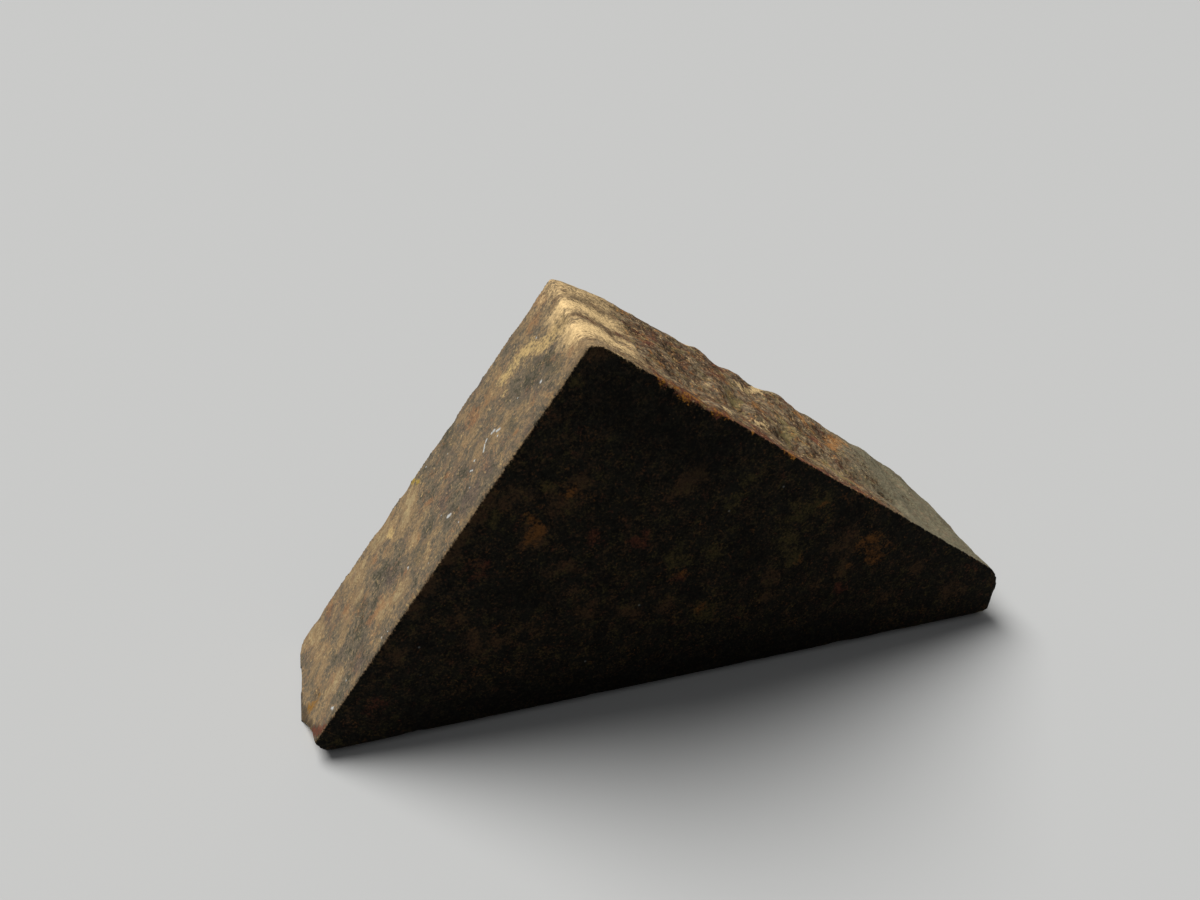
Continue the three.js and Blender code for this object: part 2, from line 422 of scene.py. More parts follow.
@dataclass(frozen=True)
class Minerals:
    """Colours of the stone's own stuff and of its rust, as linear red, green and blue; those of the dark
    cuts are darkened as painted shade.
    """

    # Dark cuts: matrix and rust darkened far below the stone's own colour, as painted shade
    shaded_matrix_black: Colour = (0.0045, 0.0040, 0.0032)
    matrix: Colour = (0.0100, 0.0092, 0.0066)
    shaded_rust_brown: Colour = (0.046, 0.0255, 0.0125)
    shaded_rust_red: Colour = (0.065, 0.020, 0.0115)
    shaded_rust_olive: Colour = (0.046, 0.036, 0.0125)
    shaded_rust_orange: Colour = (0.115, 0.047, 0.0125)
    olive_grey: Colour = (0.078, 0.070, 0.046)
    taupe: Colour = (0.148, 0.120, 0.083)
    tan: Colour = (0.280, 0.190, 0.100)
    pale_tan: Colour = (0.385, 0.285, 0.150)
    mauve: Colour = (0.115, 0.080, 0.068)
    brick: Colour = (0.290, 0.140, 0.062)
    gold: Colour = (0.560, 0.390, 0.165)
    mustard: Colour = (0.400, 0.265, 0.040)
    amber: Colour = (0.240, 0.115, 0.020)
    cream: Colour = (0.840, 0.590, 0.285)
    skin_black: Colour = (0.050, 0.036, 0.023)
    skin_brown: Colour = (0.125, 0.079, 0.045)
    skin_grey: Colour = (0.220, 0.170, 0.108)
    skin_tan: Colour = (0.440, 0.305, 0.165)
    skin_red: Colour = (0.150, 0.050, 0.030)
    skin_orange: Colour = (0.460, 0.200, 0.055)
    skin_ochre: Colour = (0.260, 0.210, 0.080)
    skin_olive: Colour = (0.225, 0.205, 0.130)
    crumb_orange: Colour = (0.480, 0.205, 0.038)
    metal: Colour = (0.720, 0.730, 0.700)


LEFT_PALE = (
    Streak((5.8, 7.9), (7.2, 6.4), 1.3), Blotch(6.4, 5.6, 1.1), Streak((8.6, 7.4), (10.0, 6.5), 1.0),
    Streak((10.8, 5.5), (12.2, 6.7), 0.9), Blotch(1.8, 5.5, 2.0), Blotch(2.0, 7.0, 1.6),
    Blotch(4.4, 4.0, 1.0), Blotch(5.2, 5.2, 0.9), Blotch(11.5, 3.7, 1.1), Blotch(2.4, 3.9, 1.5),
    Streak((7.8, 2.2), (10.4, 1.6), 0.9), Blotch(24.6, 1.2, 1.2), Streak((0.8, 2.0), (4.0, 1.8), 1.2),
)
LEFT_DARK = (
    Blotch(8.5, 4.6, 2.1), Blotch(9.6, 3.4, 1.4), Blotch(7.2, 5.3, 1.0), Blotch(6.8, 4.0, 1.3),
    Blotch(10.4, 5.0, 0.9), Blotch(3.4, 7.2, 1.1), Blotch(15.7, 6.9, 1.6), Blotch(13.0, 3.4, 1.4),
    Blotch(12.9, 5.6, 1.0), Blotch(21.5, 3.0, 1.4), Blotch(23.2, 2.4, 1.2), Blotch(16.0, 3.3, 1.3),
    Blotch(14.2, 7.8, 0.7), Blotch(4.0, 1.0, 1.1), Blotch(7.6, 3.3, 0.9), Blotch(19.0, 7.9, 1.1),
    Blotch(14.8, 1.6, 1.4), Blotch(18.6, 1.2, 1.4), Blotch(24.4, 7.1, 0.3), Blotch(15.9, 3.4, 0.3),
)
LEFT_GOLD = (
    Blotch(20.0, 4.3, 0.6), Streak((20.3, 5.5), (22.3, 5.0), 0.8),
    Streak((22.3, 4.8), (23.2, 3.9), 0.8), Streak((23.2, 3.8), (24.5, 3.4), 1.0), Blotch(9.9, 6.4, 0.7),
)
LEFT_BRICK = (
    Blotch(17.8, 5.9, 1.1), Blotch(19.2, 5.4, 1.0), Blotch(24.2, 6.9, 1.2), Blotch(23.3, 6.0, 1.0),
    Blotch(24.8, 5.5, 1.0), Streak((7.4, 2.7), (9.0, 2.1), 0.8), Blotch(21.3, 1.5, 0.5),
    Blotch(19.9, 1.2, 0.5), Blotch(13.2, 4.6, 0.5), Blotch(14.9, 4.5, 0.5), Blotch(14.1, 6.2, 0.7),
    Blotch(10.6, 2.2, 0.7), Blotch(5.2, 5.6, 0.8), Blotch(3.4, 7.8, 1.0), Blotch(8.2, 6.3, 0.7),
    Blotch(24.4, 1.0, 0.8), Blotch(12.0, 3.4, 0.7),
)
LEFT_MAUVE = (
    Blotch(9.4, 3.3, 1.0), Blotch(16.0, 1.2, 1.5), Blotch(14.5, 3.2, 1.2), Blotch(17.3, 1.5, 1.3),
    Blotch(3.4, 7.2, 1.2), Blotch(18.2, 7.7, 1.0), Blotch(5.9, 0.9, 1.0),
)
LEFT_OLIVE = (
    Blotch(15.8, 6.8, 1.6), Blotch(22.0, 3.2, 1.5), Blotch(6.5, 4.6, 1.2), Blotch(11.8, 2.2, 1.0),
    Blotch(23.1, 1.6, 1.0), Blotch(19.7, 2.0, 0.8),
)
LEFT_MUSTARD = (Streak((12.5, 7.9), (12.8, 7.1), 0.6),)
LEFT_AMBER = (Streak((0.9, 2.9), (1.7, 2.5), 0.8),)
LEFT_RED_TIP = (Streak((1.2, 0.8), (2.7, -0.2), 0.8),)
# Painted shade at the chipped lower end of the left cut
LEFT_SHADED_END = (Streak((0.0, 4.6), (0.4, 2.7), 0.6), Streak((0.4, 2.7), (1.6, 0.4), 0.8))
LEFT_FLECKS = (
    Streak((17.65, 2.7), (17.85, 3.0), 0.08), Streak((17.95, 3.05), (18.1, 3.15), 0.07),
    Streak((18.45, 3.1), (18.7, 3.0), 0.09), Streak((18.8, 2.75), (19.0, 2.6), 0.11),
    Blotch(18.75, 2.4, 0.08), Streak((16.5, 2.7), (16.65, 2.55), 0.08), Blotch(16.95, 2.95, 0.09),
    Streak((14.3, 1.95), (14.5, 1.8), 0.12), Blotch(16.15, 1.75, 0.08), Blotch(22.1, 1.85, 0.12),
    Streak((3.15, 0.6), (3.3, 0.45), 0.11), Blotch(7.95, 0.45, 0.09), Blotch(10.8, 2.4, 0.07),
    Blotch(8.5, 0.3, 0.06), Blotch(14.9, 0.7, 0.07), Blotch(13.9, 2.6, 0.06), Blotch(20.6, 2.9, 0.06),
)
SLOPE_GOLD = (Streak((0.8, 6.9), (2.6, 8.0), 1.5), Streak((0.9, 5.8), (2.6, 6.2), 0.9))
SLOPE_CREAM = (
    Streak((0.2, 1.6), (1.0, 2.4), 0.9), Streak((1.4, 4.3), (2.2, 4.9), 0.8), Blotch(3.2, 3.1, 0.5),
    Streak((11.3, 2.6), (12.2, 3.1), 0.5), Blotch(8.2, 7.5, 0.6), Blotch(6.2, 8.2, 0.6),
    Streak((11.7, 6.0), (13.6, 7.3), 0.6), Streak((0.1, 4.9), (0.6, 5.9), 0.4), Blotch(8.6, 1.5, 0.5),
)
SLOPE_DARK = (
    Blotch(4.0, 5.0, 1.2), Blotch(5.2, 5.6, 1.3), Blotch(6.7, 5.6, 1.6), Blotch(7.2, 4.0, 1.6),
    Blotch(5.4, 6.6, 1.1), Blotch(15.6, 5.1, 1.2), Blotch(17.2, 5.6, 1.1), Blotch(9.6, 6.0, 1.3),
    Blotch(14.5, 2.6, 1.2), Blotch(5.0, 3.0, 1.4), Blotch(7.5, 1.8, 1.0),
    Streak((1.2, 5.3), (3.0, 5.5), 0.35), Streak((2.5, 0.4), (20.0, 0.4), 0.9),
)
SLOPE_RED = (
    Blotch(4.3, 4.4, 0.9), Blotch(5.4, 5.5, 0.8), Blotch(9.9, 5.6, 0.9), Blotch(10.4, 6.8, 0.9),
    Blotch(20.2, 7.4, 1.0), Blotch(16.6, 4.7, 0.8), Blotch(18.5, 2.2, 0.9), Blotch(10.5, 1.2, 1.0),
    Blotch(13.0, 0.8, 0.8), Blotch(19.0, 0.6, 0.9), Streak((0.4, 3.3), (3.2, 3.7), 0.35),
    Blotch(3.7, 1.2, 0.9), Streak((4.0, 0.2), (20.0, 0.2), 0.7),
)
SLOPE_OCHRE = (
    Blotch(14.6, 4.4, 1.1), Blotch(14.3, 3.7, 0.8), Blotch(9.7, 7.8, 0.8), Blotch(10.2, 4.2, 0.9),
    Blotch(15.5, 2.3, 1.0), Blotch(13.7, 7.6, 0.8), Blotch(16.9, 1.6, 1.0), Blotch(16.6, 2.6, 0.8),
)
SLOPE_ORANGE = (
    Streak((18.0, 4.8), (19.9, 6.8), 0.8), Blotch(16.4, 6.6, 0.8), Blotch(12.2, 4.8, 0.7),
    Blotch(17.9, 1.4, 0.7),
)
# Darker blotches of the front cut; the long streak along the foot is painted shade
FRONT_DARK_AND_SHADE = (
    Blotch(10.9, 8.0, 1.9), Blotch(23.0, 7.6, 1.5), Blotch(22.6, 9.2, 1.1), Blotch(20.0, 5.9, 0.8),
    Blotch(28.2, 9.3, 1.2), Blotch(12.2, 7.4, 1.2), Blotch(6.5, 6.0, 0.9), Blotch(15.3, 7.8, 0.8),
    Streak((15.5, 17.5), (20.0, 14.0), 2.4), Streak((6.0, 1.2), (30.0, 1.0), 2.2),
)
FRONT_BROWN = (
    Blotch(13.5, 12.6, 1.5), Blotch(11.3, 13.3, 1.2), Blotch(14.2, 13.6, 0.9), Blotch(28.3, 7.4, 1.5),
    Blotch(28.4, 5.7, 1.1), Blotch(8.3, 7.2, 1.1), Streak((8.7, 6.0), (9.2, 4.5), 0.9),
    Blotch(10.1, 5.4, 0.8), Blotch(16.6, 5.6, 1.0), Blotch(18.5, 5.4, 0.9), Blotch(13.4, 9.2, 1.0),
    Streak((18.5, 12.3), (19.9, 13.0), 0.9), Blotch(24.3, 5.9, 1.0), Blotch(26.8, 5.1, 1.1),
    Blotch(24.0, 4.9, 0.8), Blotch(31.0, 3.2, 1.0), Blotch(32.9, 4.8, 0.8), Blotch(5.0, 5.6, 1.1),
    Blotch(14.3, 6.0, 0.9), Blotch(13.9, 7.4, 0.8), Blotch(11.6, 5.5, 0.8), Blotch(6.2, 8.2, 0.9),
    Blotch(35.6, 2.4, 1.7), Streak((6.8, 9.0), (10.2, 13.6), 0.6), Blotch(12.0, 11.0, 1.2),
    Blotch(15.0, 20.0, 1.0),
)
FRONT_OLIVE = (
    Blotch(19.0, 8.5, 1.3), Blotch(20.9, 8.6, 1.2), Streak((25.2, 9.8), (26.6, 10.0), 1.1),
    Blotch(24.9, 8.4, 1.3), Blotch(25.3, 7.2, 1.2), Blotch(20.6, 4.6, 1.5), Blotch(22.6, 12.5, 0.9),
    Blotch(14.0, 18.4, 0.7), Blotch(10.3, 12.4, 0.9), Blotch(21.5, 11.0, 0.9), Blotch(12.6, 13.6, 0.8),
)
FRONT_RED = (
    Blotch(9.3, 9.8, 1.0), Blotch(17.0, 9.8, 1.0), Blotch(3.8, 2.7, 0.9), Blotch(14.7, 10.4, 0.8),
    Blotch(22.6, 3.8, 0.3), Blotch(28.3, 4.4, 0.7), Blotch(36.6, 3.9, 0.7), Blotch(19.2, 7.1, 0.8),
)
FRONT_ORANGE = (
    Streak((29.6, 7.3), (30.3, 6.2), 1.2), Streak((11.8, 12.0), (12.1, 11.2), 0.8),
    Blotch(19.3, 7.2, 0.6), Blotch(20.4, 4.9, 0.9), Blotch(28.5, 5.7, 0.6), Blotch(13.6, 13.0, 0.7),
    Blotch(25.6, 7.1, 0.7), Blotch(26.8, 10.0, 0.5),
)
RIM_CRUMBS = (
    Streak((17.4, 18.6), (18.8, 17.6), 0.35), Streak((18.8, 17.6), (20.7, 16.2), 0.55),
    Streak((20.9, 16.1), (22.4, 15.0), 0.3), Streak((24.2, 13.7), (26.6, 12.0), 0.3),
    Streak((28.0, 10.9), (29.4, 9.9), 0.25),
)


@dataclass(frozen=True)
class Tone:
    """The uneven tone of a side, made of broad and small clouds and the speckle, each with its weight."""

    broad: Cloud
    small: Cloud
    broad_weight: float
    small_weight: float
    speckle_weight: float


@dataclass(frozen=True)
class Stripe:
    """A stripe over the ridge: its depth behind the front cut and its reach in millimetres, and strength."""

    depth: float
    reach: float
    strength: float = 1.0


@dataclass(frozen=True)
class LeftLook:
    """How the bright left cut is painted. Places along and across it are in millimetres."""

    stretch: Place = (0.75, 1.0, 1.0)
    tone: Tone = Tone(Cloud(1.3, 6.0, 0.66), Cloud(0.35, 4.0, 0.75), 0.5, 0.4, 0.25)
    pale_lift: float = 0.22
    dark_drop: float = 0.20
    back: Band = (3.0, 7.0)
    below_middle: Band = (14.0, 11.0)
    back_lift: float = 0.09
    lower_end: Band = (9.0, 4.0)
    lower_drop: float = 0.08
    levels: tuple[float, ...] = (-0.32, -0.10, 0.14)
    softness: float = 0.24


@dataclass(frozen=True)
class SlopeLook:
    """How the weathered slope is painted, with the pale olive that begins far down it and the painted shade
    in its hollows, in millimetres.
    """

    stretch: Place = (0.7, 1.0, 1.0)
    tone: Tone = Tone(Cloud(1.1, 6.0, 0.68), Cloud(0.3, 4.0, 0.75), 0.55, 0.9, 0.3)
    dark_drop: float = 0.20
    levels: tuple[float, ...] = (-0.40, -0.16, 0.08)
    softness: float = 0.24
    olive_levels: tuple[float, ...] = (-0.55, -0.05)
    olive_softness: float = 0.45
    broad_wander: float = 4.0
    small_wander: float = 2.0
    olive_end: Band = (17.5, 22.5)
    olive_share: float = 0.9
    hollow: Band = (0.45, 0.1)
    hollow_shade_share: float = 0.4


@dataclass(frozen=True)
class RidgeLook:
    """How the stripes over the worn ridge are painted. Distances are in millimetres."""

    patches: Cloud = Cloud(0.6, 5.0, 0.75)
    raggedness: float = 1.4
    slope_side: Band = (0.0, 1.0)
    slope_reach: float = 2.0
    ridge: Band = (2.0, 0.0)
    wander: Cloud = Cloud(0.9, 4.0, 0.6)
    wander_reach: float = 0.7
    thread_stretch: Place = (0.6, 1.4, 0.6)
    threads: Cloud = Cloud(0.45, 4.0, 0.75)
    thread_weight: float = 0.9
    patch_weight: float = 0.35
    speckle_weight: float = 0.5
    warm: Band = (-0.6, 0.2)
    warm_share: float = 0.9
    brown_stripes: tuple[Stripe, ...] = (Stripe(3.5, 0.5), Stripe(5.4, 0.4), Stripe(0.3, 0.8, 0.6))
    brown_pull: float = 0.7
    brown: Band = (0.3, 1.0)
    brown_share: float = 0.6
    pale_stripes: tuple[Stripe, ...] = (Stripe(2.1, 1.5), Stripe(4.5, 1.0), Stripe(6.8, 1.6, 0.45))
    pale_pull: float = 0.75
    pale: Band = (-0.05, 0.85)


@dataclass(frozen=True)
class ShadedCutLook:
    """How the nearly black cuts are painted: their matrix and rust are darkened as painted shade."""

    tone: Tone = Tone(Cloud(1.1, 5.0, 0.66), Cloud(0.3, 3.0, 0.75), 0.4, 0.5, 0.3)
    dark_drop: float = 0.15
    levels: tuple[float, ...] = (-0.25, 0.25)
    softness: float = 0.40
    bare_share: float = 0.7


@dataclass(frozen=True)
class RimLook:
    """How the rust crumbs along the rim of the front cut are painted, with where behind it they fade."""

    crumbs: Cloud = Cloud(0.28, 4.0, 0.8)
    speckle_weight: float = 0.8
    behind_front: Band = (0.9, 0.2)
    near: Band = (0.0, 0.3)
    pull: float = 0.7
    red: Band = (0.3, 0.9)
    orange: Band = (0.4, 0.85)


@dataclass(frozen=True)
class MetalLook:
    """How the metal grains are set, in millimetres: the scattered ones and the listed flecks."""

    cell: float = 0.9
    grain: Band = (0.08, 0.04)
    chosen: Band = (0.86, 0.88)
    swirl_size: float = 0.2
    swirl_reach: float = 0.04
    full_part: float = 0.3
    on_left: Band = (0.15, 0.05)
    left_share: float = 0.4
    share_elsewhere: float = 0.1
    fleck_share: float = 0.8


@dataclass(frozen=True)
class SurfaceLook:
    """How rough, raised and shiny the stone is. Heights are in millimetres."""

    grain_contrast: float = 0.45
    grit: Cloud = Cloud(0.35, 4.0, 0.7)
    skin_height: float = 0.05
    sawn_height: float = 0.01
    speckle_height: float = 0.012
    roughness: float = 0.80
    grit_roughness: float = 0.10
    metal_polish: float = 0.45
    metallic: float = 0.5
    reflection: float = 0.05


@dataclass
class ChondriteFinish:
    """The one material of the stone, with a look of its own for each side. Distances are in millimetres."""

    slab: Slab
    colours: Minerals = Minerals()
    left: LeftLook = LeftLook()
    slope: SlopeLook = SlopeLook()
    ridge: RidgeLook = RidgeLook()
    dark: ShadedCutLook = ShadedCutLook()
    rim: RimLook = RimLook()
    metal: MetalLook = MetalLook()
    surface: SurfaceLook = SurfaceLook()
    swirl_size: float = 0.8
    swirl_reach: float = 0.32
    speckle_cloud: Cloud = Cloud(0.13, 2.0, 0.7)
    coat_layers: float = 6.0
    coat_roughness: float = 0.74
    coat_speckle: float = 0.5
    edge_blend: Band = (0.03, 0.12)
    edge_wear: float = 0.08
    deep_under_skin: Band = (1.5, 1.2)
    broken_end: Band = (37.7, 38.0)
    deep_under_left: Band = (0.6, 0.4)

    def __post_init__(self) -> None:
        """Opens the material and reads the stone's own coordinates."""
        slab = self.slab
        self.shader = Shader("chondrite")
        shader = self.shader
        place = Paint(shader, shader.node("ShaderNodeTexCoord", {}, {}).outputs["Object"])
        from_corner = shader.vector("SUBTRACT", place, tuple(slab.corner))
        self.place = shader.vector("MULTIPLY", from_corner, (1 / MM, 1 / MM, 1 / MM))
        self.x, self.y, self.z = shader.separate(self.place)
        left_cos, left_sin = math.cos(slab.left_angle), math.sin(slab.left_angle)
        skin_cos, skin_sin = math.cos(slab.skin_angle), math.sin(slab.skin_angle)
        self.under_left = self.x * left_sin - self.z * left_cos
        self.up_left = self.x * left_cos + self.z * left_sin
        self.down_slope = (self.x - slab.apex_x) * skin_cos - (self.z - slab.apex_height) * skin_sin
        self.under_slope = (slab.foot_length - self.x) * skin_sin - self.z * skin_cos
        self.planes = {
            Side.FRONT: shader.combine(self.x, self.z, 0.0),
            Side.LEFT: shader.combine(self.up_left, self.y, 0.0),
            Side.SLOPE: shader.combine(self.down_slope, self.y, 0.0),
        }
        self.swirled = {
            side: shader.stir(plane, self.swirl_size, self.swirl_reach)
            for side, plane in self.planes.items()
        }
        self.speckle = shader.noise(self.place, self.speckle_cloud)

    def away_from(self, plane: Paint, mark: Blotch | Streak) -> Wire:
        """Measures how far places are from a mark.

        Args:
            plane: The places, along and across the mark's side.
            mark: The mark.

        Returns:
            The distance from a blotch's middle or a streak's line, in millimetres.
        """
        shader = self.shader
        if isinstance(mark, Blotch):
            return shader.distance(plane, (mark.along, mark.across, 0.0))
        start, end = Vector((*mark.start, 0.0)), Vector((*mark.end, 0.0))
        run = end - start
        share = shader.dot(shader.vector("SUBTRACT", plane, tuple(start)), tuple(run / run.length_squared))
        nearest = shader.between(share, tuple(start), tuple(end))
        return shader.distance(plane, nearest)

    def marked(self, side: Side, marks: tuple[Blotch | Streak, ...]) -> Wire:
        """Paints soft marks.

        Args:
            side: The side that the marks lie on.
            marks: The marks.

        Returns:
            A number that is 1 in the middle of a mark and 0 at its reach and beyond.
        """
        whole: Wire | float = 0.0
        for mark in marks:
            whole = (1.0 - self.away_from(self.swirled[side], mark) * (1.0 / mark.reach)) | whole
        return whole.rise(0.0, 1.0)

    def lay(self, under: Paint, side: Side, where: Paint, coats: tuple[Coat, ...]) -> Paint:
        """Lays ragged coats one over another.

        Args:
            under: The colour below.
            side: The side that their marks lie on.
            where: Where their noise is read.
            coats: The coats, lowest first.

        Returns:
            The colour with its coats.
        """
        for coat in coats:
            cloud = Cloud(coat.size, self.coat_layers, self.coat_roughness)
            spread = self.shader.noise(where, cloud) + self.speckle * self.coat_speckle
            if coat.marks:
                spread = spread + self.marked(side, coat.marks) * coat.push
            mask = spread.rise(coat.level, coat.level + coat.softness)
            under = self.shader.mix(mask * coat.share, under, coat.colour)
        return under

    def mottle(self, where: Paint, tone: Tone) -> tuple[Wire, Wire, Wire]:
        """Makes the uneven tone of a side.

        Args:
            where: Where its clouds are read.
            tone: What it is made of.

        Returns:
            The tone, then its broad and its small clouds by themselves.
        """
        broad = self.shader.noise(where, tone.broad)
        small = self.shader.noise(where, tone.small)
        clouds = broad * tone.broad_weight + small * tone.small_weight
        return clouds + self.speckle * tone.speckle_weight, broad, small

    def ramp(
        self, tone: Wire, colours: tuple[Colour, ...], levels: tuple[float, ...], softness: float
    ) -> Paint:
        """Turns a tone into colours, from the darkest to the palest.

        Args:
            tone: The tone.
            colours: The colours, one more than the levels.
            levels: The tones at which the next colour begins.
            softness: How wide each change of colour is.

        Returns:
            The colour.
        """
        colour: Paint | Colour = colours[0]
        for level, paler in zip(levels, colours[1:]):
            colour = self.shader.mix(tone.rise(level, level + softness), colour, paler)
        return colour

    def left_colour(self) -> Paint:
        """Paints the bright left cut: grey-brown in front, tan and ochre behind and below.

        Returns:
            Its colour.
        """
        colours, look = self.colours, self.left
        where = self.shader.vector("MULTIPLY", self.planes[Side.LEFT], look.stretch)
        tone = self.mottle(where, look.tone)[0]
        tone = tone + self.marked(Side.LEFT, LEFT_PALE) * look.pale_lift
        tone = tone - self.marked(Side.LEFT, LEFT_DARK) * look.dark_drop
        tone = tone + self.y.rise(*look.back) * self.up_left.rise(*look.below_middle) * look.back_lift
        tone = tone - self.up_left.rise(*look.lower_end) * look.lower_drop
        four = (colours.olive_grey, colours.taupe, colours.tan, colours.pale_tan)
        colour = self.ramp(tone, four, look.levels, look.softness)
        return self.lay(colour, Side.LEFT, where, (
            Coat(colours.mauve, 0.9, -0.05, 0.6, LEFT_MAUVE),
            Coat(colours.olive_grey, 0.8, 0.0, 0.5, LEFT_OLIVE),
            Coat(colours.brick, 0.8, 0.04, 0.62, LEFT_BRICK),
            Coat(colours.pale_tan, 0.4, 0.12, 0.55),
            Coat(colours.gold, 0.4, 0.10, 0.85, LEFT_GOLD, 0.65, 0.7),
            Coat(colours.mustard, 0.4, 0.45, 0.9, LEFT_MUSTARD, 0.9),
            Coat(colours.amber, 0.4, 0.40, 0.9, LEFT_AMBER, 0.9),
            # skin black laid at the lower end as painted shade
            Coat(colours.skin_black, 0.5, 0.30, 0.8, LEFT_SHADED_END, 0.9),
            Coat(colours.skin_red, 0.4, 0.30, 0.85, LEFT_RED_TIP, 0.9),
        ))

    def slope_colour(self) -> Paint:
        """Paints the weathered slope: brown and rusty, with pale flecks and painted shade in its hollows,
        then pale olive down the end.

        Returns:
            Its colour.
        """
        shader, colours, look = self.shader, self.colours, self.slope
        where = shader.vector("MULTIPLY", self.planes[Side.SLOPE], look.stretch)
        tone, broad, small = self.mottle(where, look.tone)
        dark_tone = tone - self.marked(Side.SLOPE, SLOPE_DARK) * look.dark_drop
        four = (colours.skin_black, colours.skin_brown, colours.skin_grey, colours.skin_tan)
        colour = self.ramp(dark_tone, four, look.levels, look.softness)
        colour = self.lay(colour, Side.SLOPE, where, (
            Coat(colours.skin_red, 0.6, -0.06, 0.85, SLOPE_RED, 0.5, 0.5),
            Coat(colours.skin_ochre, 0.6, 0.0, 0.75, SLOPE_OCHRE, 0.5, 0.5),
            Coat(colours.skin_orange, 0.5, 0.02, 0.85, SLOPE_ORANGE, 0.5, 0.5),
            Coat(colours.pale_tan, 0.4, 0.12, 0.85, SLOPE_GOLD, 0.6),
            Coat(colours.cream, 0.35, 0.14, 0.95, SLOPE_CREAM, 0.6, 0.5),
        ))
        three = (colours.skin_brown, colours.skin_olive, colours.skin_grey)
        olive = self.ramp(tone, three, look.olive_levels, look.olive_softness)
        down = self.down_slope + broad * look.broad_wander + small * look.small_wander
        colour = shader.mix(down.rise(*look.olive_end) * look.olive_share, colour, olive)
        # Painted shade: hollows of the weathered slope are darkened towards skin black
        attribute = shader.node("ShaderNodeVertexColor", {"layer_name": SHADED_HOLLOWS}, {})
        hollow = Wire(shader, attribute.outputs["Color"]).rise(*look.hollow)
        return shader.mix(hollow * look.hollow_shade_share, colour, colours.skin_black)

    def stripes(self, depth: Wire, stripes: tuple[Stripe, ...]) -> Wire:
        """Paints stripes at constant depths behind the front cut.

        Args:
            depth: The depth in millimetres.
            stripes: The stripes.

        Returns:
            Their mask, up to the strength of each.
        """
        whole: Wire | float = 0.0
        for stripe in stripes:
            whole = depth.near(stripe.depth, stripe.reach) * stripe.strength | whole
        return whole

    def ridge_colour(self, colour: Paint) -> Paint:
        """Lays tan, brown and cream over the worn ridge, in ragged stripes at constant depths.

        Args:
            colour: The colour of the slopes.

        Returns:
            The colour with the stripes.
        """
        shader, colours, look = self.shader, self.colours, self.ridge
        profile = shader.combine(self.x, 0.0, self.z)
        from_ridge = shader.distance(profile, (self.slab.apex_x, 0.0, self.slab.apex_height))
        patches = shader.noise(self.place, look.patches)
        on_slope = self.down_slope.rise(*look.slope_side)
        run = (from_ridge + patches * look.raggedness - on_slope * look.slope_reach).rise(*look.ridge)
        depth = self.y + shader.noise(self.place, look.wander) * look.wander_reach
        threads = shader.noise(shader.vector("MULTIPLY", self.place, look.thread_stretch), look.threads)
        grainy = threads * look.thread_weight + patches * look.patch_weight
        grainy = grainy + self.speckle * look.speckle_weight
        warm = run * grainy.rise(*look.warm) * look.warm_share
        colour = shader.mix(warm, colour, colours.tan)
        brown = self.stripes(depth, look.brown_stripes) * look.brown_pull + grainy
        colour = shader.mix(run * brown.rise(*look.brown) * look.brown_share, colour, colours.skin_brown)
        pale = self.stripes(depth, look.pale_stripes) * look.pale_pull + grainy
        return shader.mix(run * pale.rise(*look.pale), colour, colours.cream)

    def shaded_cut_colour(self) -> Paint:
        """Paints the dark cuts: nearly black matrix with clusters of rust mottling, darkened as painted
        shade and darker still along the foot.

        Returns:
            Their colour.
        """
        colours, look = self.colours, self.dark
        # Darker blotches, and painted shade along the foot; the rust shows less there
        lows_and_shade = self.marked(Side.FRONT, FRONT_DARK_AND_SHADE)
        tone = self.mottle(self.place, look.tone)[0] - lows_and_shade * look.dark_drop
        three = (colours.shaded_matrix_black, colours.matrix, colours.shaded_rust_brown)
        colour = self.ramp(tone, three, look.levels, look.softness)
        rusty = self.lay(colour, Side.FRONT, self.place, (
            Coat(colours.shaded_rust_brown, 0.7, -0.04, 0.8, FRONT_BROWN, 0.5, 0.7),
            Coat(colours.shaded_rust_olive, 0.7, -0.02, 0.75, FRONT_OLIVE, 0.45, 0.7),
            Coat(colours.shaded_rust_red, 0.5, 0.08, 0.75, FRONT_RED, 0.5, 0.7),
            Coat(colours.shaded_rust_orange, 0.6, 0.18, 0.85, FRONT_ORANGE, 0.6, 0.7),
        ))
        return self.shader.mix(lows_and_shade * look.bare_share, rusty, colour)

    def crumb_colour(self, colour: Paint) -> Paint:
        """Lays red and orange rust crumbs along the rim of the front cut.

        Args:
            colour: The colour of the sides.

        Returns:
            The colour with the crumbs.
        """
        shader, colours, look = self.shader, self.colours, self.rim
        crumbly = shader.noise(self.place, look.crumbs) + self.speckle * look.speckle_weight
        rim = self.marked(Side.FRONT, RIM_CRUMBS) * self.y.rise(*look.behind_front)
        near_rim = rim.rise(*look.near)
        red = (rim * look.pull + crumbly).rise(*look.red) * near_rim
        orange = (rim * look.pull - crumbly).rise(*look.orange) * near_rim
        return shader.mix(orange, shader.mix(red, colour, colours.skin_red), colours.crumb_orange)

    def metal_mask(self) -> Wire:
        """Sets the small bright metal grains of the left cut, and fewer and finer ones elsewhere.

        Returns:
            Their mask.
        """
        shader, look = self.shader, self.metal
        middle, own = shader.grains(self.place, look.cell)
        scattered = middle.rise(*look.grain) * own.rise(*look.chosen)
        plane = shader.stir(self.planes[Side.LEFT], look.swirl_size, look.swirl_reach)
        whole: Wire | float = 0.0
        for fleck in LEFT_FLECKS:
            whole = self.away_from(plane, fleck).rise(fleck.reach, fleck.reach * look.full_part) | whole
        on_left = self.under_left.rise(*look.on_left)
        scattered = scattered * (on_left * look.left_share + look.share_elsewhere)
        return scattered | (whole * on_left * (self.speckle + look.fleck_share))

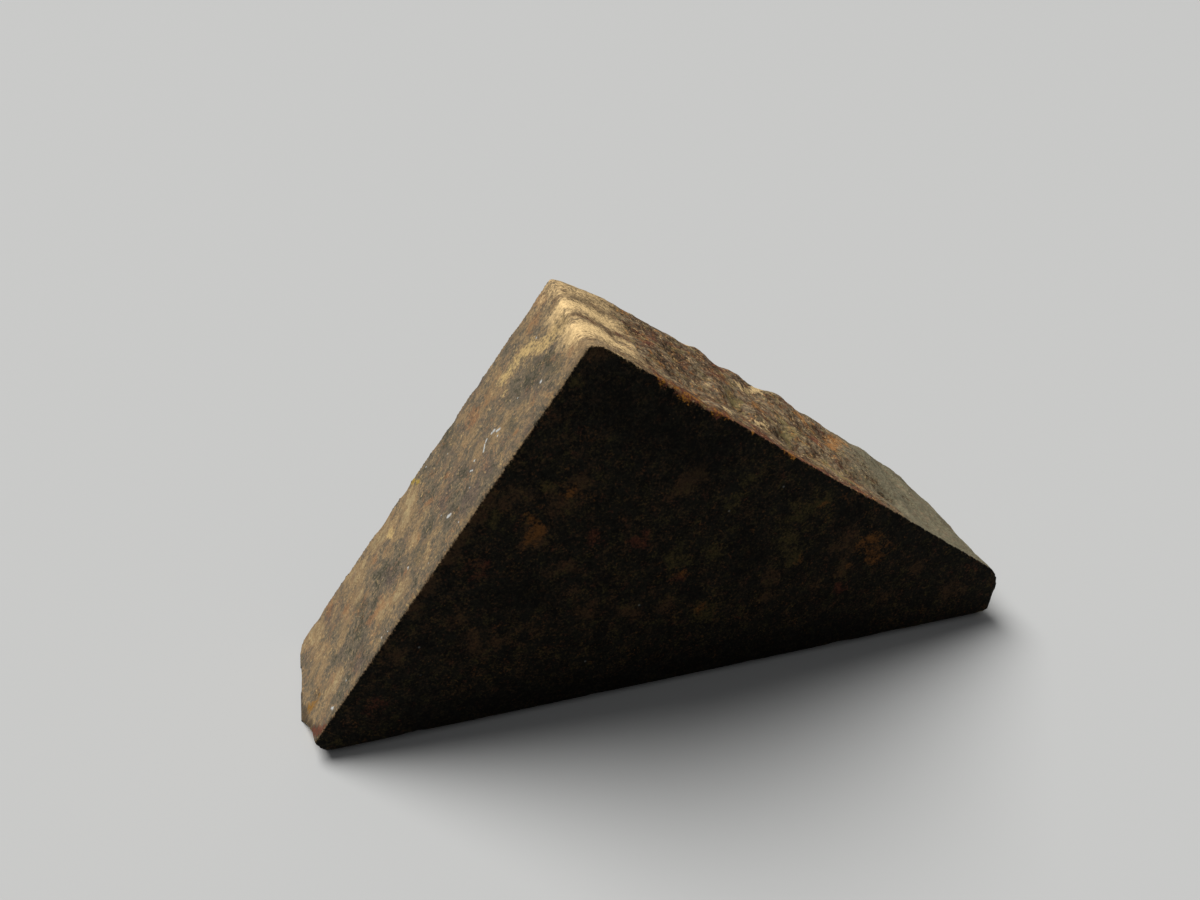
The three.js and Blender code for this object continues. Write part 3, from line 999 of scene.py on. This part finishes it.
    def cuts(self) -> tuple[Wire, Wire]:
        """Tells the sides apart, with edges that are a little worn.

        Returns:
            A mask that is 0 on the left cut and a mask that is 0 on the dark cuts with their painted shade,
            each 1 elsewhere.
        """
        slab, blend = self.slab, self.edge_blend
        worn = self.speckle * self.edge_wear
        off_front = (self.y + worn).rise(*blend)
        off_back = (slab.thickness - self.z * slab.back_lean - self.y + worn).rise(*blend)
        off_left = (self.under_left + worn).rise(*blend)
        off_foot = (self.z + worn).rise(*blend)
        # Places deep under the slope and the left cut, such as chips along the foot, take the dark cuts'
        # painted shade too
        by_skin = self.under_slope.rise(*self.deep_under_skin) | self.x.rise(*self.broken_end)
        off_inside = by_skin | self.under_left.rise(*self.deep_under_left)
        return off_left, off_front * off_back * off_foot * off_inside

    def finish(self) -> bpy.types.Material:
        """Joins the looks of the sides and closes the material.

        Returns:
            The finished material.
        """
        shader, look = self.shader, self.surface
        off_left, off_shaded_cuts = self.cuts()
        sawn = 1.0 - off_shaded_cuts * off_left
        slopes = self.ridge_colour(shader.mix(off_left, self.left_colour(), self.slope_colour()))
        colour = self.crumb_colour(shader.mix(off_shaded_cuts, self.shaded_cut_colour(), slopes))
        grain = self.speckle * look.grain_contrast + 1.0
        colour = shader.vector("MULTIPLY", colour, shader.combine(grain, grain, grain))
        metal = self.metal_mask() * sawn
        colour = shader.mix(metal, colour, self.colours.metal)
        grit = shader.noise(self.place, look.grit)
        height = grit * (1.0 - sawn) * look.skin_height + grit * sawn * look.sawn_height
        height = height + self.speckle * look.speckle_height
        bump = shader.node("ShaderNodeBump", {}, {"Strength": 1.0, "Distance": MM, "Height": height})
        values = {
            "Base Color": colour,
            "Metallic": metal * look.metallic,
            "Roughness": look.roughness + grit * look.grit_roughness - metal * look.metal_polish,
            "Normal": Paint(shader, bump.outputs["Normal"]),
            "Specular IOR Level": look.reflection,
        }
        surface = shader.node("ShaderNodeBsdfPrincipled", {}, values)
        shader.node("ShaderNodeOutputMaterial", {}, {"Surface": Paint(shader, surface.outputs[0])})
        return shader.material


@dataclass
class Meteorite:
    """The stone itself: a fine mesh of the frame's solid with the grit of its weathered skin.

    The skin begins and is full at depths under the cuts that are in millimetres.
    """

    node_name: str = "stone"
    body: str = "root"
    slot: str = "chondrite"
    piece_name: str = "chondrite_stone"
    voxel: float = 0.14 * MM
    merge_distance: float = 0.001 * MM
    skin_from: float = 0.1
    skin_full: float = 0.45
    weight_steps: int = 20
    smoothing_share: float = 0.5
    smoothing_rounds: int = 45
    lump_size: float = 1.0 * MM
    lump_height: float = 0.05 * MM
    lump_layers: int = 1
    grit_size: float = 0.42 * MM
    grit_height: float = 0.10 * MM
    grit_layers: int = 3
    unmoved_grey: float = 0.5
    hollow_blur: float = 0.5
    hollow_blur_rounds: int = 1
    hollow_angle: float = math.radians(14)

    def copy_solid(self, node: bpy.types.Object) -> bpy.types.Object:
        """Copies the frame's solid into a new object and merges its loose triangles.

        Args:
            node: The frame's solid.

        Returns:
            The copy, selected and active.
        """
        piece = bpy.data.objects.new(self.piece_name, node.data.copy())
        bpy.context.collection.objects.link(piece)
        bpy.ops.object.select_all(action="DESELECT")
        piece.select_set(True)
        bpy.context.view_layer.objects.active = piece
        bpy.ops.object.mode_set(mode="EDIT")
        bpy.ops.mesh.select_all(action="SELECT")
        bpy.ops.mesh.remove_doubles(threshold=self.merge_distance)
        bpy.ops.object.mode_set(mode="OBJECT")
        return piece

    def apply(self, piece: bpy.types.Object, kind: str, settings: dict[str, object]) -> None:
        """Adds one modifier to the piece and applies it.

        Args:
            piece: The piece.
            kind: The modifier's type.
            settings: The modifier's properties.
        """
        modifier = piece.modifiers.new(kind.title(), kind)
        for name, setting in settings.items():
            setattr(modifier, name, setting)
        bpy.ops.object.modifier_apply(modifier=modifier.name)

    def places(self, piece: bpy.types.Object, slab: Slab) -> np.ndarray:
        """Reads where the vertices of a piece are.

        Args:
            piece: The piece.
            slab: The sawn triangle.

        Returns:
            Rows of X, Y and Z in millimetres from the slab's corner.
        """
        mesh = piece.data
        places = np.empty(len(mesh.vertices) * 3)
        mesh.vertices.foreach_get("co", places)
        return slab.from_corner(places.reshape(-1, 3))

    def group(self, piece: bpy.types.Object, name: str, depth: np.ndarray) -> bpy.types.VertexGroup:
        """Groups the vertices that lie under the saw cuts, with less weight towards them.

        Args:
            piece: The refined piece.
            name: The group's name.
            depth: How deep each vertex lies under the cuts, in millimetres.

        Returns:
            The vertex group.
        """
        weights = np.clip((depth - self.skin_from) / (self.skin_full - self.skin_from), 0.0, 1.0)
        group = piece.vertex_groups.new(name=name)
        steps = np.round(weights * self.weight_steps)
        for step in range(1, self.weight_steps + 1):
            group.add(np.flatnonzero(steps == step).tolist(), step / self.weight_steps, "REPLACE")
        return group

    def cloud(self, name: str, size: float, layers: int) -> bpy.types.Texture:
        """Makes a cloudy texture for displacement.

        Args:
            name: Its name.
            size: Size of its lumps in metres.
            layers: How many finer layers it has.

        Returns:
            The texture.
        """
        texture = bpy.data.textures.new(name, "CLOUDS")
        texture.noise_scale = size
        texture.noise_depth = layers
        return texture

    def mark_shaded_hollows(self, piece: bpy.types.Object) -> None:
        """Stores how hollow each place is as a colour attribute, dark in hollows and pale on rises, for the
        painted shade in the slope's hollows.

        Args:
            piece: The shaped piece.
        """
        attributes = piece.data.color_attributes
        attributes.active_color = attributes.new(name=SHADED_HOLLOWS, type="BYTE_COLOR", domain="CORNER")
        bpy.ops.paint.vertex_color_dirt(
            blur_strength=self.hollow_blur,
            blur_iterations=self.hollow_blur_rounds,
            dirt_angle=math.pi / 2 - self.hollow_angle,
            clean_angle=math.pi / 2 + self.hollow_angle,
        )

    def build(self, node: bpy.types.Object, slab: Slab) -> bpy.types.Object:
        """Shapes the fine stone.

        Args:
            node: The frame's solid.
            slab: The sawn triangle.

        Returns:
            The finished mesh object.
        """
        piece = self.copy_solid(node)
        self.apply(piece, "REMESH", {"mode": "VOXEL", "voxel_size": self.voxel})
        seen = slab.depth_under_seen_cuts(self.places(piece, slab))
        self.apply(piece, "SMOOTH", {
            "factor": self.smoothing_share,
            "iterations": self.smoothing_rounds,
            "vertex_group": self.group(piece, "worn", seen).name,
        })
        depth = np.minimum(seen, slab.depth_under_back(self.places(piece, slab)))
        skin = self.group(piece, "skin", depth)
        for name, size, height, layers in (
            ("lumps", self.lump_size, self.lump_height, self.lump_layers),
            ("grit", self.grit_size, self.grit_height, self.grit_layers),
        ):
            self.apply(piece, "DISPLACE", {
                "texture": self.cloud(name, size, layers),
                "texture_coords": "LOCAL",
                "strength": height,
                "mid_level": self.unmoved_grey,
                "vertex_group": skin.name,
            })
        bpy.ops.object.shade_smooth()
        self.mark_shaded_hollows(piece)
        return piece

    def dress(self, piece: bpy.types.Object, material: bpy.types.Material) -> None:
        """Gives the piece its material and its place in the frame.

        Args:
            piece: The finished mesh object.
            material: Its material.
        """
        piece.data.materials.clear()
        piece.data.materials.append(material)
        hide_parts(self.node_name)
        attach(piece, self.body)


@dataclass
class Studio:
    """A plain pale floor, one large soft lamp, faint light from all round, and the camera."""

    floor_side: float = 3.0
    floor_colour: Colour = (0.52, 0.52, 0.51)
    floor_roughness: float = 0.9
    floor_reflection: float = 0.1
    lamp_from: Place = (-0.28, 0.40, 0.873)
    lamp_strength: float = 3.5
    lamp_width: float = math.radians(40)
    room_colour: Colour = (0.95, 0.97, 1.00)
    room_strength: float = 0.16
    eye_from_corner: Place = (5.439 * MM, -33.524 * MM, 36.148 * MM)
    view_direction: Place = (0.2368, 0.8234, -0.5157)
    nearest_seen: float = 1.0 * MM
    picture_width: int = 1200
    focal_pixels: float = 929.2
    film_width: float = 36.0

    def build_floor(self) -> bpy.types.Object:
        """Lays the floor.

        Returns:
            The floor.
        """
        bpy.ops.object.select_all(action="DESELECT")
        bpy.ops.mesh.primitive_plane_add(size=self.floor_side, location=(0.0, 0.0, 0.0))
        floor = bpy.context.object
        floor.name = "floor"
        shader = Shader("floor")
        values = {
            "Base Color": (*self.floor_colour, 1.0),
            "Roughness": self.floor_roughness,
            "Specular IOR Level": self.floor_reflection,
        }
        surface = shader.node("ShaderNodeBsdfPrincipled", {}, values)
        shader.node("ShaderNodeOutputMaterial", {}, {"Surface": Paint(shader, surface.outputs[0])})
        floor.data.materials.append(shader.material)
        return floor

    def build_light(self) -> None:
        """Hangs the lamp behind and above the stone, and fills the room with faint light."""
        bpy.ops.object.light_add(type="SUN", location=self.lamp_from)
        lamp = bpy.context.object
        lamp.name = "lamp"
        lamp.data.energy = self.lamp_strength
        lamp.data.angle = self.lamp_width
        lamp.rotation_euler = Vector(self.lamp_from).to_track_quat("Z", "Y").to_euler()
        world = bpy.data.worlds.new("room")
        world.use_nodes = True
        background = world.node_tree.nodes["Background"]
        background.inputs["Color"].default_value = (*self.room_colour, 1.0)
        background.inputs["Strength"].default_value = self.room_strength
        bpy.context.scene.world = world
        bpy.context.scene.view_settings.view_transform = "Standard"

    def build_camera(self, corner: Vector) -> bpy.types.Object:
        """Sets up the camera where the photograph was taken from.

        Args:
            corner: The slab's sharp front left foot corner.

        Returns:
            The camera.
        """
        rotation = Vector(self.view_direction).to_track_quat("-Z", "Y").to_euler()
        bpy.ops.object.camera_add(location=corner + Vector(self.eye_from_corner), rotation=rotation)
        camera = bpy.context.object
        camera.data.sensor_width = self.film_width
        camera.data.lens = self.focal_pixels * self.film_width / self.picture_width
        camera.data.clip_start = self.nearest_seen
        bpy.context.scene.camera = camera
        return camera


def main() -> None:
    """Builds the studio and the stone, and reports each."""
    logging.basicConfig(level=logging.INFO, format="%(name)s: %(message)s")
    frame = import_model()
    meteorite = Meteorite()
    slab = Slab(corner=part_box(meteorite.node_name)[0])
    studio = Studio()
    camera = studio.build_camera(slab.corner)
    log.info("camera with a %.1f mm lens", camera.data.lens)
    studio.build_floor()
    studio.build_light()
    log.info("floor and light")
    stone = meteorite.build(frame["nodes"][meteorite.node_name], slab)
    meteorite.dress(stone, ChondriteFinish(slab).finish())
    log.info("%s with %d faces", stone.name, len(stone.data.polygons))


if __name__ == "__main__":
    main()
